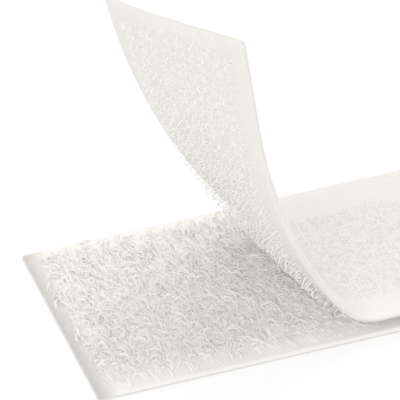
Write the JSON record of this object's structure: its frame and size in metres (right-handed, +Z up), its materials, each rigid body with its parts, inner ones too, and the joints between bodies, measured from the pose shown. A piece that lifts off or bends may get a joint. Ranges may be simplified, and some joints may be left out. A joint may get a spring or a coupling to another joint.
{
  "type": "hook and loop tape strips",
  "caption": "Pair of sew-on hook and loop tape strips: a flat loop strip with its pile up and a hook strip pressed on it, its end peeled up into a curled flap.",
  "frame": {"origin": "middle of the loop strip's underside", "axes": "+X along the strips towards the end that stays pressed together, +Z up out of the loop pile"},
  "size_m": [0.1, 0.0266, 0.0381],
  "materials": {
    "woven_nylon": "bleached white close weave, matt",
    "resin_coat": "thin clear resin over the weave",
    "loop_filament": "fine white filament loops, slightly silky",
    "hook_monofilament": "clear white nylon monofilament"
  },
  "bodies": {
    "loop_strip": {"loop_back_coat": "resin_coat", "loop_ground_tape": "woven_nylon", "loop_pile": "loop_filament"},
    "hook_strip": {"hook_back_coat_bonded": "resin_coat", "hook_ground_tape_bonded": "woven_nylon", "hooks_bonded": "hook_monofilament"},
    "flap_lower": {"hook_back_coat_flap": "resin_coat", "hook_ground_tape_flap": "woven_nylon", "hooks_flap": "hook_monofilament"},
    "flap_tip": {"hook_back_coat_tip": "resin_coat", "hook_ground_tape_tip": "woven_nylon", "hooks_tip": "hook_monofilament"}
  },
  "joints": [
    {"name": "lift_off", "type": "slide", "parent": "loop_strip", "child": "hook_strip", "axis": [0, 0, 1], "range_m": [0, 0.03]},
    {"name": "peel", "type": "hinge", "parent": "hook_strip", "child": "flap_lower", "pos_m": [-0.02545, -0.00145, 0.00522], "axis": [-0.2788, 0.9592, 0.0477], "range_deg": [-45, 50], "stiffness_Nm_per_rad": 0.003},
    {"name": "curl", "type": "hinge", "parent": "flap_lower", "child": "flap_tip", "pos_m": [-0.03192, 0.00029, 0.01713], "axis": [-0.3578, 0.9042, 0.2333], "range_deg": [-27, 30], "stiffness_Nm_per_rad": 0.003}
  ],
  "couplings": [
    {"joint": "curl", "follows": "peel", "ratio": 0.6}
  ]
}
